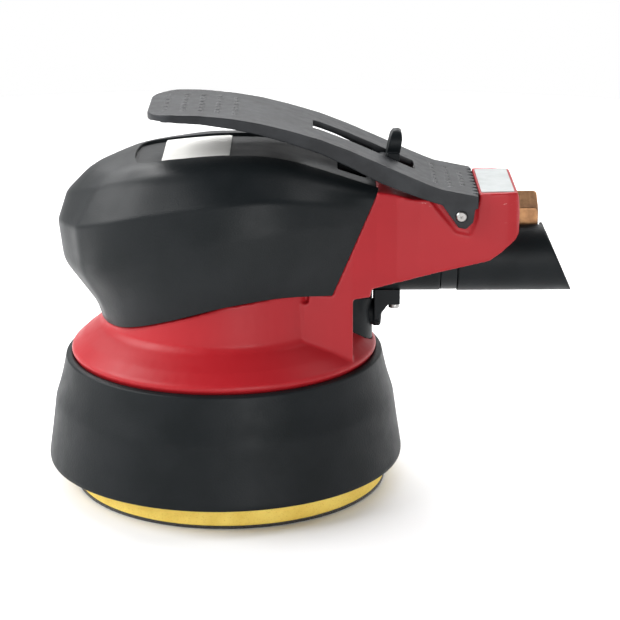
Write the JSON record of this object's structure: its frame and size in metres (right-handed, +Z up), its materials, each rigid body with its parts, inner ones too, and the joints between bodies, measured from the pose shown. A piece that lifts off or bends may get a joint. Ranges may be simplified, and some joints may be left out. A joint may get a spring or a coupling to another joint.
{
  "type": "orbital sander",
  "caption": "Air-driven random-orbital palm sander with a faceted grip, lever throttle, safety latch, dust shroud and exhaust nozzle.",
  "frame": {"origin": "on the motor axis in the plane of the pad face", "axes": "+Z up along the motor axis, +X towards the handle and the air inlet, +Y to the left of someone who looks along +X"},
  "size_m": [0.2091, 0.1424, 0.1531],
  "materials": {
    "red_housing": "satin moulded red plastic",
    "grip_rubber": "satin black rubber",
    "black_plastic": "fine-textured black plastic",
    "plate_white": "satin off-white foil",
    "plate_grey": "satin grey foil",
    "steel": "ground steel",
    "dark_steel": "blackened steel",
    "aluminium": "turned aluminium",
    "brass": "machined brass",
    "foam_yellow": "yellow polyurethane foam",
    "hook_face": "hook fabric",
    "seal_rubber": "nitrile rubber",
    "vane_composite": "phenolic composite",
    "felt": "grey felt"
  },
  "bodies": {
    "housing": {"housing": "red_housing", "comfort_grip": "grip_rubber", "name_plate": "plate_white", "rear_plate": "plate_grey", "dust_shroud": "black_plastic", "shroud_clamp": "steel", "motor_cylinder": "aluminium", "upper_endplate": "aluminium", "lower_endplate": "aluminium", "upper_bearing": "steel", "lower_bearing": "steel", "dowel_pins": "dark_steel", "lock_ring": "dark_steel", "barrel_o_ring": "seal_rubber", "lever_pin": "steel", "valve_seat": "brass", "valve_spring": "steel", "valve_plug": "brass", "inlet_bushing": "brass", "inlet_screen": "steel", "inlet_o_ring": "seal_rubber", "riser_duct": "black_plastic", "handle_duct": "black_plastic", "duct_bracket": "black_plastic", "bracket_screws": "steel", "duct_sleeve": "grip_rubber", "exhaust_nozzle": "black_plastic", "ejector_tube": "brass", "exhaust_muffler": "felt", "regulator_bushing": "brass"},
    "rotor": {"rotor": "dark_steel", "rotor_vanes": "vane_composite", "shaft_balancer": "steel", "spindle_bearings": "steel", "bearing_shield": "dark_steel", "shaft_circlip": "dark_steel"},
    "pad": {"spindle": "steel", "spindle_circlip": "dark_steel", "pad_washer": "felt", "pad_stud": "dark_steel", "pad_plate": "black_plastic", "pad_foam": "foam_yellow", "pad_hook_face": "hook_face"},
    "lever": {"throttle_lever": "black_plastic", "latch_pin": "steel", "latch_spring": "steel"},
    "latch": {"safety_latch": "black_plastic"},
    "valve": {"valve_stem": "steel", "valve_o_ring": "seal_rubber"},
    "regulator": {"speed_regulator": "black_plastic"}
  },
  "joints": [
    {"name": "motor_spin", "type": "hinge", "parent": "housing", "child": "rotor", "pos_m": [0, 0, 0.075], "axis": [0, 0, 1], "continuous": true},
    {"name": "pad_spin", "type": "hinge", "parent": "rotor", "child": "pad", "pos_m": [0.002, -0.0015, 0.03], "axis": [0, 0, 1], "continuous": true},
    {"name": "lever_press", "type": "hinge", "parent": "housing", "child": "lever", "pos_m": [0.0927, 0, 0.1128], "axis": [0, -1, 0], "range_deg": [0, 4], "stiffness_Nm_per_rad": 1.5, "springref_deg": -8.59, "deforming": ["valve_spring"]},
    {"name": "latch_flip", "type": "hinge", "parent": "lever", "child": "latch", "pos_m": [0.063, 0, 0.1286], "axis": [0, -1, 0], "range_deg": [0, 25], "stiffness_Nm_per_rad": 0.02, "springref_deg": -17.19},
    {"name": "valve_slide", "type": "slide", "parent": "housing", "child": "valve", "axis": [0, 0, -1], "range_m": [0, 0.0016]},
    {"name": "regulator_turn", "type": "hinge", "parent": "housing", "child": "regulator", "pos_m": [0.0596, 0, 0.0673], "axis": [1, 0, 0], "range_deg": [-60, 60]}
  ],
  "couplings": [
    {"joint": "valve_slide", "follows": "lever_press", "m_per_rad": 0.0147}
  ]
}
